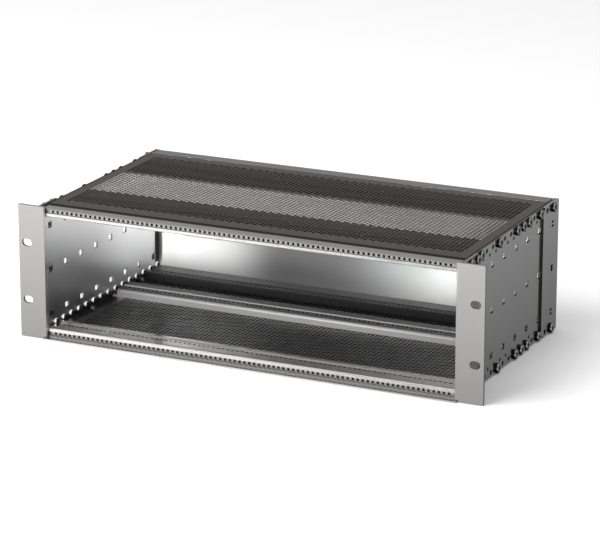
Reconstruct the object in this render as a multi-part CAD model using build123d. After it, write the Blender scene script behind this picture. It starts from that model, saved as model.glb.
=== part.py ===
from build123d import *
from math import cos, pi, sin, sqrt
import os

# A 19 inch subrack, 3 units high and 84 pitches wide, in millimetres.
# X runs across the front and is 0 in the middle. Z is up and 0 at mid-height.
# Y is 0 on the back of the flanges, which meets the rack, and grows to the rear.

# Rack standard
pitch = 5.08                  # one horizontal pitch
rack_width = 482.6            # over both flanges
flange_height = 132.5
slot_edge = 8.75              # from a flange's outer edge to its slots' centres
slot_spacing_z = 57.15
slot_length = 10.4
slot_height = 7.4

# Front brackets
ear_width = 25.3              # from the flange's outer edge to the side panel's inner face
flange_t = 3.0
front_leg_t = 2.5
front_leg_depth = 35.0
rib_t = 2.64                  # inner rib, across the front
rib_depth = 2.6
rib_notch_z = 50.0
rib_notch_height = 8.0
rib_end_gap = 0.3             # between the rib's ends and the rails
lip_gap = 0.3                 # round the front lip where it passes the flange

# Side panels
panel_t = 2.0
panel_drop = 0.75             # the panel's edge lies this far inside the flange's
panel_length = 237.0
hole_pitch = 15.0                   # pitch of the holes along the panel
first_hole_y = 13.2
last_hole_margin = 10.0       # the least from the last hole to the panel's rear edge
hole_edge = 4.5               # from the panel's edge to the hole row
hole_d = 4.6
window_length = 7.0
window_height = 6.0
window_row_z = 44.45

# Rear brackets
rear_leg_t = 2.0
rear_leg_ahead = 24.4         # how far the leg starts in front of its rail screw
rear_rib_gap = 0.2
rear_rib_depth = 2.0
rear_rib_reach = 1.2          # how far it stands in front of the panel's inner face
corner_cut = 4.0

# Lances that hook a bracket into a panel window
lance_slit = 1.9
lance_bar = 2.2
lance_depth = 1.7
lance_edge = 1.0              # the slits end this far inside the window

# Rails: heights are counted outwards from the face that looks at the opening
rail_height = 8.8
rail_drop = 0.7               # the outer face lies this far inside the panel's edge
sheet_t = 1.2                 # covers and rear panel
channel_d = 4.1               # screw channel through an extrusion
channel_sides = 8
chamber_wall = 1.4
chamber_floor = 2.5
end_relief_x = 1.6
end_relief_z = 2.2
guide_floor = 1.0             # depth of the guide channel in the opening face
land_step = 0.6

# Grooves and the threaded strips that slide into them
groove_row = 5.25             # groove centre, from the opening face
groove_mouth = 3.8
groove_inner = 5.8
groove_lip = 1.5
groove_play = 0.1
strip_t = 2.2
strip_height = 5.4
strip_play = 1.0              # how far a strip ends before the panel
strip_back_t = 0.4            # what stays behind the drawn depth of a thread
strip_hole = 2.7

# Front rails
front_rail_y = 0.7
front_nose = 2.0
front_nick_width = 1.2
front_nick_depth = 0.8
front_land = 9.0
front_guide = 13.3
front_end_rib = 5.0
front_web = 6.3               # the thin web that carries on behind the full section
front_web_t = 2.0
front_chamber_gap = 15.0      # from the front face to the chamber
front_chamfer = 0.5
lip_reach = 6.9
lip_t = 1.3
lip_root = 3.0

# Middle rails
middle_ahead = 6.2            # from the front face to the first screw channel
middle_nose = 5.0
middle_guide = 10.0
middle_rib = 4.0
middle_land = 10.0
middle_nose_r = 3.5

# Rear rails
rear_ahead = 16.7             # from the front face to the screw channel
rear_nose = 2.6
rear_guide = 6.8
rear_rib = 5.0
rear_land = 13.8
rear_chamfer = 0.6
rear_chamber_length = 9.6

# Covers
cover_front_gap = 12.9        # from the front rail's face to the cover's front edge
cover_rear_gap = 13.8         # from the rear panel's plate to the cover's rear edge
cover_play = 0.7              # between the cover and the side panel
tab_height = 7.4
tab_gap = 0.5                 # between a tab and the rail section beside it
rear_tab_ahead = 8.7          # the rear tab starts this far in front of its screw
rear_tab_behind = 8.8
field_edge = 10.3             # from the cover's side edge to the open field
field_front = 14.8
field_rear = 12.0
gap_columns = 28
gap_width = 8.5

# Rear panel
rear_panel_play = 1.2         # between its edge and the side panel
rear_fold = 14.5

# Fasteners
head_d = 9.5
head_h = 2.9
head_sides = 8
shank_d = 4.0
shank_play = 0.2
rail_grip = 8.0
cover_grip = 1.6
rear_head_d = 5.0
rear_head_h = 2.0
rear_shank_d = 2.5
rear_screw_columns = 5
rear_edge_columns = 3         # holes left free at each end of a rear strip
grub_h = 1.6

# Places worked out from the sizes above
panel_inner_x = rack_width / 2 - ear_width
panel_outer_x = panel_inner_x + panel_t
flange_inner_x = panel_inner_x - rib_t
front_leg_x = panel_outer_x + front_leg_t
rear_leg_x = panel_outer_x + rear_leg_t
panel_half_height = flange_height / 2 - panel_drop
rail_outer_z = panel_half_height - rail_drop
cover_outer_z = rail_outer_z + sheet_t
opening_half = rail_outer_z - rail_height
hole_row_z = opening_half + groove_row
lip_top_z = flange_height / 2 - lip_t
upper_row_z = panel_half_height - hole_edge
pitch_count = int(2 * panel_inner_x / pitch) - 1
pitch_xs = [pitch * (i - (pitch_count - 1) / 2) for i in range(pitch_count)]
last_index = 2 * int((panel_length - first_hole_y - last_hole_margin) / (2 * hole_pitch))
row_hole_ys = [first_hole_y + hole_pitch * i for i in range(last_index + 1)]
window_ys = row_hole_ys[::2]
rail_screw_ys = [row_hole_ys[i] for i in (0, last_index - 5, last_index - 4, last_index)]
cover_screw_ys = [row_hole_ys[i] for i in (1, 2, last_index - 9, last_index - 6, last_index - 2)]
front_rail_body = front_land + front_guide + front_end_rib - front_web
middle_rail_y = rail_screw_ys[1] - middle_ahead
rear_rail_y = rail_screw_ys[3] - rear_ahead
rear_rail_end = rear_rail_y + rear_nose + rear_guide + rear_rib + rear_land
rear_leg_start_y = rail_screw_ys[3] - rear_leg_ahead
rear_leg_end_y = panel_length + rear_rib_gap + rear_rib_depth
cover_half_width = panel_inner_x - cover_play
cover_front_y = front_rail_y + cover_front_gap
cover_rear_y = rear_rail_end - cover_rear_gap
rear_column_step = (pitch_count - 1 - 2 * rear_edge_columns) / (rear_screw_columns - 1)
rear_screw_xs = [pitch_xs[round(rear_edge_columns + rear_column_step * i)] for i in range(rear_screw_columns)]


# Helpers: flat outlines, and solids pushed out from them
def in_yz(x, points):
    """A closed outline of (y, z) points in the plane at x."""
    return Wire.make_polygon([(x, y, z) for y, z in points], close=True)


def yz_rect(x, y, z, length, height):
    """A rectangle around (y, z) in the plane at x."""
    a, b = length / 2, height / 2
    return in_yz(x, [(y - a, z - b), (y + a, z - b), (y + a, z + b), (y - a, z + b)])


def ring(y, z, across, sides):
    """Corners of a regular outline around (y, z), with its size given across the flats."""
    r = across / 2 / cos(pi / sides)
    turns = [2 * pi * (i + 0.5) / sides for i in range(sides)]
    return [(y + r * cos(a), z + r * sin(a)) for a in turns]


def xz_outline(y, points):
    """A closed outline of (x, z) points in the plane at y."""
    return Wire.make_polygon([(x, y, z) for x, z in points], close=True)


def xz_rect(x, y, z, width, height):
    """A rectangle around (x, z) in the plane at y."""
    a, b = width / 2, height / 2
    return xz_outline(y, [(x - a, z - b), (x + a, z - b), (x + a, z + b), (x - a, z + b)])


def xy_rect(x0, x1, y0, y1, z):
    """A rectangle between two corners in the plane at z."""
    return Wire.make_polygon([(x0, y0, z), (x1, y0, z), (x1, y1, z), (x0, y1, z)], close=True)


def plate(outline, holes, direction):
    """A flat outline with its holes, pushed out to a solid."""
    return Solid.extrude(Face(outline, holes), Vector(*direction))


def box_between(low, high):
    """A box from its lowest to its highest corner."""
    size = [b - a for a, b in zip(low, high)]
    return Location(low) * Box(*size, align=(Align.MIN, Align.MIN, Align.MIN))


def screw_holes(x, ys):
    """Clearance holes for the side screws, above and below, in the plane at x."""
    across = shank_d + shank_play
    return [yz_rect(x, y, side * upper_row_z, across, across) for y in ys for side in (-1, 1)]


# Side panels: punched sheet, the right one modelled and the left one mirrored
def side_panel():
    x = panel_inner_x
    h = panel_half_height
    outline = in_yz(x, [(0, -h), (panel_length, -h), (panel_length, h), (0, h)])
    holes = []
    for y in window_ys:
        for z in (-window_row_z, 0, window_row_z):
            holes.append(yz_rect(x, y, z, window_length, window_height))
    used = rail_screw_ys + cover_screw_ys
    holes += screw_holes(x, used)
    for y in row_hole_ys:
        if y not in used:
            holes += [yz_rect(x, y, side * upper_row_z, hole_d, hole_d) for side in (-1, 1)]
    return plate(outline, holes, (panel_t, 0, 0))


def lance_slits(x, y):
    """The two slits above and below each lance bar of a bracket leg."""
    slits = []
    for z in (-window_row_z, 0, window_row_z):
        for side in (-1, 1):
            middle = z + side * (lance_bar + lance_slit) / 2
            slits.append(yz_rect(x, y, middle, window_length - 2 * lance_edge, lance_slit))
    return slits


def lance_bars(y, leg_inner_x):
    """The bars between the slits, pressed inwards into the panel's windows."""
    low_x = leg_inner_x - lance_depth
    half = window_length / 2 - lance_edge
    bars = []
    for z in (-window_row_z, 0, window_row_z):
        low = (low_x, y - half, z - lance_bar / 2)
        bars.append(box_between(low, (leg_inner_x, y + half, z + lance_bar / 2)))
    return bars


# Front brackets: rack flange, side leg and inner rib of one extrusion
def front_bracket():
    h = flange_height / 2
    outer = rack_width / 2
    width = outer - flange_inner_x
    flange = Location(((flange_inner_x + outer) / 2, -flange_t / 2, 0)) * Box(width, flange_t, flange_height)
    for side in (-1, 1):
        slot = SlotOverall(slot_length, slot_height)
        centre = (outer - slot_edge, 0, side * slot_spacing_z / 2)
        flange -= extrude(Plane(origin=centre, x_dir=(1, 0, 0), z_dir=(0, -1, 0)) * slot, flange_t)
    notch_high = (panel_inner_x + lip_gap, 0, lip_gap - lip_top_z)
    flange -= box_between((flange_inner_x, -flange_t, -h), notch_high)
    leg_points = [(0, -h), (front_leg_depth - corner_cut, -h), (front_leg_depth, -h + corner_cut)]
    leg_points += [(front_leg_depth, h - corner_cut), (front_leg_depth - corner_cut, h), (0, h)]
    near = [y for y in row_hole_ys if y < front_leg_depth]
    holes = lance_slits(panel_outer_x, window_ys[0]) + screw_holes(panel_outer_x, near)
    leg = plate(in_yz(panel_outer_x, leg_points), holes, (front_leg_t, 0, 0))
    rib_end_z = opening_half - rib_end_gap
    rib = box_between((flange_inner_x, 0, -rib_end_z), (panel_inner_x, rib_depth, rib_end_z))
    for side in (-1, 1):
        z = side * rib_notch_z
        low = (flange_inner_x, 0, z - rib_notch_height / 2)
        rib -= box_between(low, (panel_inner_x, rib_depth, z + rib_notch_height / 2))
    return Part() + [flange, leg, rib] + lance_bars(window_ys[0], panel_outer_x)


# Rear brackets: an angle on the outside of the panel with a short inner rib behind it
def rear_bracket():
    x = panel_outer_x
    h = panel_half_height
    start = rear_leg_start_y
    points = [(start, -h + corner_cut), (start + corner_cut, -h), (rear_leg_end_y, -h)]
    points += [(rear_leg_end_y, h), (start + corner_cut, h), (start, h - corner_cut)]
    holes = lance_slits(x, window_ys[-1]) + screw_holes(x, [rail_screw_ys[3]])
    for y in row_hole_ys:
        if start < y < rail_screw_ys[3]:
            holes += [yz_rect(x, y, side * upper_row_z, hole_d, hole_d) for side in (-1, 1)]
    leg = plate(in_yz(x, points), holes, (rear_leg_t, 0, 0))
    low = (panel_inner_x - rear_rib_reach, rear_leg_end_y - rear_rib_depth, -h)
    rib = box_between(low, (panel_outer_x, rear_leg_end_y, h))
    return Part() + [leg, rib] + lance_bars(window_ys[-1], panel_outer_x)


# Rails: extrusions over the full inner width, modelled for the top and mirrored for the bottom
def groove(face_y, inward):
    """Outline points of a strip groove, from its outer lip to its inner lip."""
    back = groove_lip + strip_t + groove_play
    mouth, inner = groove_mouth / 2, groove_inner / 2
    steps = [(0, mouth), (groove_lip, mouth), (groove_lip, inner), (back, inner)]
    outer = [(face_y + inward * d, hole_row_z + h) for d, h in steps]
    lower = [(face_y + inward * d, hole_row_z - h) for d, h in reversed(steps)]
    return outer + lower


def rail(points, channel_ys, chamber_y, chamber_length, nose_r=0.0):
    """An extruded rail from its section, with screw channels, a chamber and relieved ends."""
    x = -panel_inner_x
    section = Face(in_yz(x, points))
    if nose_r:
        nose = section.vertices().sort_by_distance((x, *points[0]))[0]
        section = section.fillet_2d(nose_r, [nose])
    z0 = opening_half + chamber_floor
    z1 = rail_outer_z - chamber_wall
    y0 = chamber_y
    y1 = chamber_y + chamber_length
    holes = [in_yz(x, [(y0, z0), (y1, z0), (y1, z1), (y0, z1)])]
    holes += [in_yz(x, ring(y, upper_row_z, channel_d, channel_sides)) for y in channel_ys]
    solid = plate(section.outer_wire(), holes, (2 * panel_inner_x, 0, 0))
    ys = [y for y, z in points]
    for side in (-1, 1):
        a = side * panel_inner_x
        b = a - side * end_relief_x
        low = (min(a, b), min(ys), opening_half)
        solid -= box_between(low, (max(a, b), max(ys), opening_half + end_relief_z))
    return solid


def front_rail(with_lip):
    y0 = front_rail_y
    nick = y0 + front_nose
    guide = y0 + front_land
    rib = guide + front_guide
    end = rib + front_end_rib
    body = y0 + front_rail_body
    z0 = opening_half
    z1 = rail_outer_z
    points = [(y0, z0 + front_chamfer), (y0 + front_chamfer, z0), (nick, z0), (nick, z0 + front_nick_depth)]
    points += [(nick + front_nick_width, z0 + front_nick_depth), (nick + front_nick_width, z0)]
    points += [(guide, z0), (guide, z0 + guide_floor), (rib, z0 + guide_floor), (rib, z0), (end, z0)]
    points += [(end, z0 + front_web_t), (body, z0 + front_web_t), (body, z1)]
    if with_lip:
        edge = flange_height / 2
        points += [(y0 + lip_root, z1), (y0 + lip_root, edge), (y0 - lip_reach, edge)]
        points += [(y0 - lip_reach, lip_top_z), (y0, lip_top_z)]
    else:
        points += [(y0, z1)]
    points += groove(y0, 1)
    chamber_y = y0 + front_chamber_gap
    return rail(points, rail_screw_ys[:1], chamber_y, body - chamber_wall - chamber_y)


def middle_rail():
    y0 = middle_rail_y
    guide = y0 + middle_nose
    rib = guide + middle_guide
    land = rib + middle_rib
    end = land + middle_land
    z0 = opening_half
    z1 = rail_outer_z
    points = [(y0, z0), (guide, z0), (guide, z0 + guide_floor), (rib, z0 + guide_floor), (rib, z0), (land, z0)]
    points += [(land, z0 + land_step), (end, z0 + land_step), (end, z1), (y0, z1)]
    clear = channel_d / 2 + chamber_wall
    chamber_y = rail_screw_ys[1] + clear
    length = rail_screw_ys[2] - clear - chamber_y
    return rail(points, rail_screw_ys[1:3], chamber_y, length, nose_r=middle_nose_r)


def rear_rail():
    y0 = rear_rail_y
    guide = y0 + rear_nose
    rib = guide + rear_guide
    land = rib + rear_rib
    end = rear_rail_end
    z0 = opening_half
    z1 = rail_outer_z
    points = [(y0, z0 + rear_chamfer), (y0 + rear_chamfer, z0), (guide, z0), (guide, z0 + guide_floor)]
    points += [(rib, z0 + guide_floor), (rib, z0), (land, z0), (land, z0 + land_step), (end, z0 + land_step)]
    points += list(reversed(groove(end, -1)))
    points += [(end, z1), (y0, z1)]
    return rail(points, rail_screw_ys[3:], guide, rear_chamber_length)


# Threaded strips that slide into the grooves: front ones are pierced at every pitch
def front_strip():
    half = panel_inner_x - strip_play
    face_y = front_rail_y + groove_lip
    depth = strip_t - strip_back_t
    holes = [xz_rect(x, face_y, hole_row_z, strip_hole, strip_hole) for x in pitch_xs]
    pierced = plate(xz_rect(0, face_y, hole_row_z, 2 * half, strip_height), holes, (0, depth, 0))
    back = plate(xz_rect(0, face_y + depth, hole_row_z, 2 * half, strip_height), [], (0, strip_back_t, 0))
    return Part() + [pierced, back]


def rear_strip():
    half = panel_inner_x - strip_play
    face_y = rear_rail_end - groove_lip - strip_t
    holes = [xz_rect(x, face_y, hole_row_z, rear_shank_d, rear_shank_d) for x in rear_screw_xs]
    return plate(xz_rect(0, face_y, hole_row_z, 2 * half, strip_height), holes, (0, strip_t, 0))


# Grub screws in the end holes, which lock each front strip in its rail
def grub_screws():
    face_y = front_rail_y + groove_lip
    screws = []
    for x in (pitch_xs[0], pitch_xs[-1]):
        for side in (-1, 1):
            outline = xz_rect(x, face_y, side * hole_row_z, strip_hole, strip_hole)
            screws.append(plate(outline, [], (0, grub_h, 0)))
    return Part() + screws


# Covers: perforated sheet with folded side tabs, modelled for the top
def cover():
    top = cover_outer_z
    w = cover_half_width
    field_half = w - field_edge
    column_pitch = 2 * field_half / gap_columns
    y0 = cover_front_y + field_front
    y1 = cover_rear_y - field_rear
    holes = []
    for i in range(gap_columns):
        x = column_pitch * (i + 0.5) - field_half
        holes.append(xy_rect(x - gap_width / 2, x + gap_width / 2, y0, y1, top))
    parts = [plate(xy_rect(-w, w, cover_front_y, cover_rear_y, top), holes, (0, 0, -sheet_t))]
    front_tab = (front_rail_y + front_rail_body + tab_gap, middle_rail_y - tab_gap)
    rear_tab = (cover_screw_ys[4] - rear_tab_ahead, cover_screw_ys[4] + rear_tab_behind)
    z0 = top - tab_height
    z1 = top - sheet_t
    for start, end in (front_tab, rear_tab):
        for x in (-w, w - sheet_t):
            edge = in_yz(x, [(start, z0), (end, z0), (end, z1), (start, z1)])
            across = shank_d + shank_play
            bores = [yz_rect(x, y, upper_row_z, across, across) for y in cover_screw_ys if start < y < end]
            parts.append(plate(edge, bores, (sheet_t, 0, 0)))
    return Part() + parts


# Rear panel: plain sheet, folded forwards over the rear rails
def rear_panel():
    y0 = rear_rail_end
    y1 = y0 + sheet_t
    z = cover_outer_z
    w = panel_inner_x - rear_panel_play
    across = rear_shank_d + shank_play
    holes = [xz_rect(x, y0, side * hole_row_z, across, across) for x in rear_screw_xs for side in (-1, 1)]
    parts = [plate(xz_rect(0, y0, 0, 2 * w, 2 * z), holes, (0, sheet_t, 0))]
    for side in (-1, 1):
        outer, inner = side * z, side * (z - sheet_t)
        parts.append(box_between((-w, y1 - rear_fold, min(outer, inner)), (w, y0, max(outer, inner))))
    return Part() + parts


# Pan head screws with few sides, along X for the sides and along Y for the rear panel
def side_screw(seat_x, tip_x, y, z):
    head = plate(in_yz(seat_x, ring(y, z, head_d, head_sides)), [], (head_h, 0, 0))
    across = shank_d / sqrt(2)
    return head + plate(yz_rect(tip_x, y, z, across, across), [], (seat_x - tip_x, 0, 0))


def side_screws(ys, tip_x):
    screws = []
    for y in ys:
        seat = panel_outer_x
        if y < front_leg_depth:
            seat = front_leg_x
        if y > rear_leg_start_y:
            seat = rear_leg_x
        screws += [side_screw(seat, tip_x, y, side * upper_row_z) for side in (-1, 1)]
    return Part() + screws


def rear_panel_screws():
    seat = rear_rail_end + sheet_t
    tip = rear_rail_end - groove_lip - strip_t
    across = rear_shank_d / sqrt(2)
    screws = []
    for x in rear_screw_xs:
        for z in (-hole_row_z, hole_row_z):
            head = plate(xz_outline(seat, ring(x, z, rear_head_d, head_sides)), [], (0, rear_head_h, 0))
            screws.append(head + plate(xz_rect(x, tip, z, across, across), [], (0, seat - tip, 0)))
    return Part() + screws


def write(name, shape):
    export_step(shape, f"parts/{name}.step")


def main():
    os.makedirs("parts", exist_ok=True)
    rail_tip = panel_inner_x - rail_grip
    cover_tip = cover_half_width - sheet_t - cover_grip
    sided = {"side_panel": side_panel(), "front_bracket": front_bracket(), "rear_bracket": rear_bracket(),
             "rail_screws": side_screws(rail_screw_ys, rail_tip),
             "cover_screws": side_screws(cover_screw_ys, cover_tip)}
    for name, shape in sided.items():
        write(f"{name}_right", shape)
        write(f"{name}_left", shape.mirror(Plane.YZ))
    write("front_rail_top", front_rail(with_lip=False))
    write("front_rail_bottom", front_rail(with_lip=True).mirror(Plane.XY))
    top_cover = cover()
    write("top_cover", top_cover)
    write("bottom_cover", top_cover.mirror(Plane.XY))
    stacked = {"middle_rail": middle_rail(), "rear_rail": rear_rail(), "front_strip": front_strip(),
               "rear_strip": rear_strip()}
    for name, shape in stacked.items():
        write(f"{name}_top", shape)
        write(f"{name}_bottom", shape.mirror(Plane.XY))
    write("rear_panel", rear_panel())
    write("rear_panel_screws", rear_panel_screws())
    write("grub_screws", grub_screws())


main()
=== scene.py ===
import math

import bmesh
import bpy
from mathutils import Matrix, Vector


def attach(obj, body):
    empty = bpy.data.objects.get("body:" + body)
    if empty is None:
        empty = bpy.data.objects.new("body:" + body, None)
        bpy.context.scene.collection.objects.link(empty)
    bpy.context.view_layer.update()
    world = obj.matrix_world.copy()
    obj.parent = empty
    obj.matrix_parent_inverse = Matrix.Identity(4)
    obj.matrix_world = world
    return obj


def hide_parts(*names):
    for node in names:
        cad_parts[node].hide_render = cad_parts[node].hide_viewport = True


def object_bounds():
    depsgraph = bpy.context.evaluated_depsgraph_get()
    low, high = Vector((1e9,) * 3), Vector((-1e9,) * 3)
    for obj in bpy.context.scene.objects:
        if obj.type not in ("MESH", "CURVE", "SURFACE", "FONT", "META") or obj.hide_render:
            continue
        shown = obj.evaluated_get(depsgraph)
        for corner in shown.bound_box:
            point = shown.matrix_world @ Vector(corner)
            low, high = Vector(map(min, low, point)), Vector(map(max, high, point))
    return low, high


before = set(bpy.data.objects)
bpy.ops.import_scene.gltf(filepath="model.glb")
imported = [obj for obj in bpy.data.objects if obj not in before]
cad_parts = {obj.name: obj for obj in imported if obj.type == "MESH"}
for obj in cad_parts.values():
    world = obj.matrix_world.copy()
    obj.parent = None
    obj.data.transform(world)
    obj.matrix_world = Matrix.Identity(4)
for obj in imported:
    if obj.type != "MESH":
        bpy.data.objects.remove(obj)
cad_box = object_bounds()


# Side panels
# Two punched sheets of 2 mm aluminium that close the subrack at its ends. Each has three rows
# of square windows, a row of round screw holes along its long edges, and inside of it a row
# of small holes whose edges are drawn inwards as short collars for the card guides.
mm = 0.001
first_hole, hole_pitch, hole_count = 13.2 * mm, 15.0 * mm, 15
hole_ys = [first_hole + hole_pitch * i for i in range(hole_count)]
outer_row, window_row = 61.0 * mm, 44.45 * mm
panel_thickness, bay_half_width = 2.0 * mm, 216.0 * mm


def put(tree, kind, inputs=None, **settings):
    """A node with its options set and its inputs joined to sockets or given values."""
    node = tree.nodes.new(kind)
    for key, value in settings.items():
        setattr(node, key, value)
    for key, value in (inputs or {}).items():
        if isinstance(value, bpy.types.NodeSocket):
            tree.links.new(value, node.inputs[key])
        else:
            node.inputs[key].default_value = value
    return node


def new_tree(name, kind, inputs, outputs):
    """A node group with its named sockets, and what its inputs give."""
    tree = bpy.data.node_groups.new(name, kind)
    for label, socket_kind in outputs:
        tree.interface.new_socket(label, in_out="OUTPUT", socket_type="NodeSocket" + socket_kind)
    for label, socket_kind, value in inputs:
        socket = tree.interface.new_socket(label, in_out="INPUT", socket_type="NodeSocket" + socket_kind)
        if value is not None:
            socket.default_value = value
    return tree, put(tree, "NodeGroupInput").outputs


def shape_tree(name, inputs):
    """A geometry tree, and what its inputs give."""
    return new_tree(name, "GeometryNodeTree", inputs, [("Geometry", "Geometry")])


def calc(tree, operation, a, b=0.0, c=0.0):
    """The result of a sum, in a shape's tree or in a material's."""
    return put(tree, "ShaderNodeMath", {0: a, 1: b, 2: c}, operation=operation).outputs[0]


def xyz(tree, x=0.0, y=0.0, z=0.0):
    """A vector from numbers or sockets."""
    return put(tree, "ShaderNodeCombineXYZ", {"X": x, "Y": y, "Z": z}).outputs[0]


def split_xyz(tree, value):
    return put(tree, "ShaderNodeSeparateXYZ", {0: value}).outputs


def metal_grain_group():
    """Rolled and anodised metal: cloudy tone, fine grain along one direction, faint bump.

    Height Shade paints shade that grows towards the foot, and the rim input paints shade on what lies by the
    rails."""
    shade_per_metre, rim_start, rim_end = 15.0, 53.5 * mm, 57.5 * mm
    tree, given = new_tree(
        "metal_grain", "ShaderNodeTree",
        [("Colour", "Color", (0.6, 0.6, 0.6, 1)), ("Tone Spread", "Float", 0.05),
         ("Roughness", "Float", 0.3), ("Roughness Spread", "Float", 0.05), ("Grain Scale", "Float", 400.0),
         ("Grain Stretch", "Vector", (1, 1, 1)), ("Bump", "Float", 0.05), ("Height Shade", "Float", 0.0),
         ("Rim Tone", "Float", 1.0)],
        [("Colour", "Color"), ("Roughness", "Float"), ("Normal", "Vector")])
    place = put(tree, "ShaderNodeTexCoord").outputs["Object"]
    clouds = put(tree, "ShaderNodeTexNoise", {"Vector": place, "Scale": 9.0, "Detail": 3.0}).outputs["Fac"]
    along = put(tree, "ShaderNodeVectorMath", {0: place, 1: given["Grain Stretch"]}, operation="MULTIPLY")
    grain = put(tree, "ShaderNodeTexNoise", {"Vector": along.outputs[0], "Scale": given["Grain Scale"],
                                            "Detail": 2.0}).outputs["Fac"]
    centred = calc(tree, "SUBTRACT", calc(tree, "ADD", clouds, grain), 1.0)
    tone = calc(tree, "MULTIPLY_ADD", centred, given["Tone Spread"], 1.0)
    level = split_xyz(tree, place)["Z"]
    # painted shade: darker towards the foot, and darker again by the rails
    shade = calc(tree, "MULTIPLY", given["Height Shade"], shade_per_metre)
    shade = calc(tree, "MULTIPLY_ADD", level, shade, 1.0)
    rim = put(tree, "ShaderNodeMapRange",
              {"Value": calc(tree, "ABSOLUTE", level), "From Min": rim_start, "From Max": rim_end,
               "To Min": 1.0, "To Max": given["Rim Tone"]}).outputs[0]
    tone = calc(tree, "MULTIPLY", tone, calc(tree, "MULTIPLY", shade, rim))
    colour = put(tree, "ShaderNodeVectorMath", {0: given["Colour"], "Scale": tone}, operation="SCALE")
    rough = calc(tree, "MULTIPLY_ADD", centred, given["Roughness Spread"], given["Roughness"])
    bump = put(tree, "ShaderNodeBump", {"Height": grain, "Strength": given["Bump"], "Distance": 0.1 * mm})
    out = put(tree, "NodeGroupOutput").inputs
    tree.links.new(colour.outputs[0], out["Colour"])
    tree.links.new(rough, out["Roughness"])
    tree.links.new(bump.outputs["Normal"], out["Normal"])
    return tree


metal_grain = metal_grain_group()


def metal(name, colour, roughness, grain=400.0, stretch=(1, 1, 1), bump=0.04, shade=0.0, rim=1.0):
    """A bare or anodised metal finish with its own grain."""
    made = bpy.data.materials.new(name)
    made.use_nodes = True
    tree = made.node_tree
    shader = tree.nodes["Principled BSDF"]
    shader.inputs["Metallic"].default_value = 1.0
    group = put(tree, "ShaderNodeGroup", {
        "Colour": (*colour, 1), "Tone Spread": 0.04, "Roughness": roughness, "Roughness Spread": 0.06,
        "Grain Scale": grain, "Grain Stretch": stretch, "Bump": bump, "Height Shade": shade,
        "Rim Tone": rim}, node_tree=metal_grain)
    tree.links.new(group.outputs["Colour"], shader.inputs["Base Color"])
    tree.links.new(group.outputs["Roughness"], shader.inputs["Roughness"])
    tree.links.new(group.outputs["Normal"], shader.inputs["Normal"])
    return made


def new_piece(name, mesh):
    """An object at the origin that shows a mesh."""
    made = bpy.data.objects.new(name, mesh)
    bpy.context.scene.collection.objects.link(made)
    return made


def run_tree(piece, tree, values):
    """Puts a geometry tree on a piece, sets its inputs by identifier and keeps the result as a mesh."""
    step = piece.modifiers.new(tree.name, "NODES")
    step.node_group = tree
    sockets = {s.name: s.identifier for s in tree.interface.items_tree if s.in_out == "INPUT"}
    for label, value in values.items():
        step[sockets[label]] = value
    return keep_result(piece)


def keep_result(piece):
    """Turns a piece and its live modifiers into a plain mesh."""
    graph = bpy.context.evaluated_depsgraph_get()
    graph.update()
    result = bpy.data.meshes.new_from_object(piece.evaluated_get(graph), depsgraph=graph)
    result.name = piece.name
    piece.modifiers.clear()
    piece.data = result
    return piece


def dress(piece, slot, *nodes):
    """Fixes a piece to the subrack in place of its CAD nodes."""
    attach(piece, "root")
    if nodes:
        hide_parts(*nodes)
    return piece


def ring_of_points(shape, radius, height, sides, lobe=0.0):
    """A ring about Z, whose radius swells and shrinks six times by the share that lobe gives."""
    points = []
    for step in range(sides):
        turn = 2 * math.pi * step / sides
        reach = radius * (1.0 + lobe * math.cos(6 * turn))
        points.append(shape.verts.new((reach * math.cos(turn), reach * math.sin(turn), height)))
    return points


def wall_between(shape, rings):
    """Faces from each ring to the next."""
    for low, high in zip(rings, rings[1:]):
        for a in range(len(low)):
            b = (a + 1) % len(low)
            shape.faces.new((low[a], low[b], high[b], high[a]))


def mesh_from(shape, name):
    mesh = bpy.data.meshes.new(name)
    shape.to_mesh(mesh)
    shape.free()
    return mesh


def tube(name, profile, sides):
    """A turned ring about Z whose closed section is given as (radius, height) points in mm."""
    shape = bmesh.new()
    rings = [ring_of_points(shape, radius * mm, height * mm, sides) for radius, height in profile]
    wall_between(shape, rings + rings[:1])
    bmesh.ops.recalc_face_normals(shape, faces=shape.faces)
    return new_piece(name, mesh_from(shape, name))


def join(tree, *shapes):
    """Nodes that put shapes together."""
    joined = put(tree, "GeometryNodeJoinGeometry")
    for shape in shapes:
        tree.links.new(shape, joined.inputs[0])
    return joined.outputs[0]


def fill(tree, *curves):
    """Nodes that fill an outline and leave its holes open."""
    return put(tree, "GeometryNodeFillCurve", {0: join(tree, *curves)}, mode="TRIANGLES").outputs[0]


def merge(tree, geometry, gap):
    return put(tree, "GeometryNodeMergeByDistance", {"Geometry": geometry, "Distance": gap}).outputs[0]


def move(tree, geometry, offset, turn=(0, 0, 0)):
    return put(tree, "GeometryNodeTransform",
               {"Geometry": geometry, "Translation": offset, "Rotation": turn}).outputs[0]


def paint(tree, geometry, finish, chosen=True):
    """Nodes that give a finish to the chosen faces."""
    return put(tree, "GeometryNodeSetMaterial",
               {"Geometry": geometry, "Selection": chosen, "Material": finish}).outputs[0]


def make_real(tree, geometry):
    return put(tree, "GeometryNodeRealizeInstances", {0: geometry}).outputs[0]


def hand_out(tree, geometry):
    """Ends a tree with its shape made real."""
    tree.links.new(make_real(tree, geometry), put(tree, "NodeGroupOutput").inputs[0])
    return tree


def oblong(tree, width, height):
    return put(tree, "GeometryNodeCurvePrimitiveQuadrilateral",
               {"Width": width, "Height": height}).outputs[0]


def circle(tree, sides, radius):
    return put(tree, "GeometryNodeCurvePrimitiveCircle", {"Resolution": sides, "Radius": radius}).outputs[0]


def copies_on(tree, points, shape):
    """Nodes that set one shape or hole outline on each point."""
    placed = put(tree, "GeometryNodeInstanceOnPoints", {"Points": points, "Instance": shape}).outputs[0]
    return make_real(tree, placed)


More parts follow.
